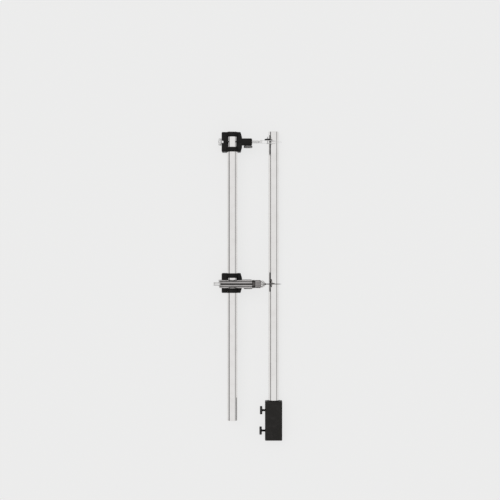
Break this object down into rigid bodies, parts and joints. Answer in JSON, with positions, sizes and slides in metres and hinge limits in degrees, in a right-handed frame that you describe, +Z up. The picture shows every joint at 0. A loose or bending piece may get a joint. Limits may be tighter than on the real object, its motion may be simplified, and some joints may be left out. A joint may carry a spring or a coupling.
{
  "type": "beam compass",
  "caption": "Beam compass with sliding clamp heads on a chromed tube, a ruling pen, a needle point in a push-button holder, and a loose extension tube in its connector.",
  "frame": {"origin": "on the plane the compass lies on, straight under the axis of the main beam at the middle of its length", "axes": "+Y along the main beam towards the pen's head, +X the way the pen and the needle point, +Z up from the plane, towards the instruments"},
  "size_m": [0.0785, 0.3541, 0.0338],
  "materials": {
    "chrome": "polished chrome plate",
    "black_plastic": "satin black moulding",
    "black_metal": "black oxide with worn knurls",
    "steel": "fine brushed steel",
    "dark_steel": "dark fine-turned steel",
    "brass": "turned brass"
  },
  "bodies": {
    "main_beam": {"main_beam": "chrome"},
    "pen_head": {"pen_head_body": "black_plastic", "pen_head_insert": "brass", "pen_arm_insert": "brass"},
    "pen_head_key": {"pen_head_key": "brass"},
    "pen_head_screw": {"pen_head_screw": "chrome"},
    "pen_arm_shoe": {"pen_arm_shoe": "brass"},
    "pen_arm_screw": {"pen_arm_screw": "dark_steel"},
    "point_head": {"point_head_body": "black_plastic", "point_head_insert": "brass", "point_arm_insert": "brass"},
    "point_head_key": {"point_head_key": "brass"},
    "point_head_screw": {"point_head_screw": "chrome"},
    "point_arm_shoe": {"point_arm_shoe": "brass"},
    "point_arm_screw": {"point_arm_screw": "dark_steel"},
    "pen": {"pen_shank": "steel", "pen_set_screw": "steel", "pen_blade_rivet": "steel"},
    "pen_spring_blade": {"pen_spring_blade": "steel"},
    "pen_nut": {"pen_nut": "black_metal"},
    "point_holder": {"holder_bracket": "dark_steel", "holder_barrel": "chrome", "holder_core": "black_plastic", "button_spring": "steel"},
    "chuck_cap": {"chuck_cap": "chrome"},
    "chuck": {"chuck": "steel", "push_button": "chrome"},
    "needle": {"needle": "steel"},
    "connector": {"connector_block": "black_plastic"},
    "extension_beam": {"extension_beam": "chrome"},
    "connector_pad_upper": {"connector_pad_upper": "brass"},
    "connector_screw_upper": {"connector_screw_upper": "black_metal"},
    "connector_pad_lower": {"connector_pad_lower": "brass"},
    "connector_screw_lower": {"connector_screw_lower": "black_metal"}
  },
  "joints": [
    {"name": "pen_head_slide", "type": "slide", "parent": "main_beam", "child": "pen_head", "axis": [0, 1, 0], "range_m": [-0.06, 0]},
    {"name": "pen_head_key_slide", "type": "slide", "parent": "pen_head", "child": "pen_head_key", "axis": [1, 0, 0], "range_m": [-0.0005, 0]},
    {"name": "pen_head_screw_turn", "type": "hinge", "parent": "pen_head_key", "child": "pen_head_screw", "pos_m": [0, 0.153, 0.0168], "axis": [1, 0, 0], "range_deg": [-360, 0]},
    {"name": "pen_arm_shoe_slide", "type": "slide", "parent": "pen_head", "child": "pen_arm_shoe", "axis": [0, 1, 0], "range_m": [-0.001, 0]},
    {"name": "pen_arm_screw_turn", "type": "hinge", "parent": "pen_arm_shoe", "child": "pen_arm_screw", "pos_m": [0.018, 0.153, 0.0172], "axis": [0, 1, 0], "range_deg": [-720, 0]},
    {"name": "point_head_slide", "type": "slide", "parent": "main_beam", "child": "point_head", "axis": [0, 1, 0], "range_m": [-0.145, 0.065]},
    {"name": "point_head_key_slide", "type": "slide", "parent": "point_head", "child": "point_head_key", "axis": [1, 0, 0], "range_m": [-0.0005, 0]},
    {"name": "point_head_screw_turn", "type": "hinge", "parent": "point_head_key", "child": "point_head_screw", "pos_m": [0, -0.008, 0.0168], "axis": [1, 0, 0], "range_deg": [-360, 0]},
    {"name": "point_arm_shoe_slide", "type": "slide", "parent": "point_head", "child": "point_arm_shoe", "axis": [0, 1, 0], "range_m": [-0.001, 0]},
    {"name": "point_arm_screw_turn", "type": "hinge", "parent": "point_arm_shoe", "child": "point_arm_screw", "pos_m": [0.018, -0.008, 0.0172], "axis": [0, 1, 0], "range_deg": [-720, 0]},
    {"name": "pen_slide", "type": "slide", "parent": "pen_head", "child": "pen", "axis": [1, 0, 0], "range_m": [0, 0.01]},
    {"name": "pen_blade_spring", "type": "hinge", "parent": "pen", "child": "pen_spring_blade", "pos_m": [0.0314, 0.15425, 0.0172], "axis": [0, 0, 1], "range_deg": [0, 2.25]},
    {"name": "pen_nut_turn", "type": "hinge", "parent": "pen_spring_blade", "child": "pen_nut", "pos_m": [0.0404, 0.153, 0.0172], "axis": [0, 1, 0], "range_deg": [0, 360]},
    {"name": "holder_slide", "type": "slide", "parent": "point_head", "child": "point_holder", "axis": [1, 0, 0], "range_m": [0, 0.008]},
    {"name": "chuck_cap_turn", "type": "hinge", "parent": "point_holder", "child": "chuck_cap", "pos_m": [0.025, -0.0089, 0.02915], "axis": [1, 0, 0], "range_deg": [0, 360]},
    {"name": "button_press", "type": "slide", "parent": "point_holder", "child": "chuck", "axis": [1, 0, 0], "range_m": [0, 0.0025], "stiffness_N_per_m": 900, "springref_m": -0.001, "deforming": ["button_spring"]},
    {"name": "needle_slide", "type": "slide", "parent": "chuck", "child": "needle", "axis": [1, 0, 0], "range_m": [-0.008, 0.002]},
    {"name": "extension_apart", "type": "slide", "parent": "main_beam", "child": "connector", "axis": [1, 0, 0], "range_m": [0, 0.08]},
    {"name": "extension_beam_slide", "type": "slide", "parent": "connector", "child": "extension_beam", "axis": [0, 1, 0], "range_m": [0, 0.02]},
    {"name": "connector_pad_upper_slide", "type": "slide", "parent": "connector", "child": "connector_pad_upper", "axis": [1, 0, 0], "range_m": [-0.0005, 0]},
    {"name": "connector_screw_upper_turn", "type": "hinge", "parent": "connector_pad_upper", "child": "connector_screw_upper", "pos_m": [0.0473, -0.1543, 0.0072], "axis": [1, 0, 0], "range_deg": [-360, 0]},
    {"name": "connector_pad_lower_slide", "type": "slide", "parent": "connector", "child": "connector_pad_lower", "axis": [1, 0, 0], "range_m": [0, 0.0005]},
    {"name": "connector_screw_lower_turn", "type": "hinge", "parent": "connector_pad_lower", "child": "connector_screw_lower", "pos_m": [0.0473, -0.1777, 0.0072], "axis": [1, 0, 0], "range_deg": [0, 360]}
  ],
  "couplings": [
    {"joint": "pen_head_screw_turn", "follows": "pen_head_key_slide", "rad_per_m": 12566},
    {"joint": "pen_arm_screw_turn", "follows": "pen_arm_shoe_slide", "rad_per_m": 12566},
    {"joint": "point_head_screw_turn", "follows": "point_head_key_slide", "rad_per_m": 12566},
    {"joint": "point_arm_screw_turn", "follows": "point_arm_shoe_slide", "rad_per_m": 12566},
    {"joint": "pen_blade_spring", "follows": "pen_nut_turn", "ratio": 0.006189},
    {"joint": "connector_screw_upper_turn", "follows": "connector_pad_upper_slide", "rad_per_m": 12566},
    {"joint": "connector_screw_lower_turn", "follows": "connector_pad_lower_slide", "rad_per_m": 12566}
  ]
}
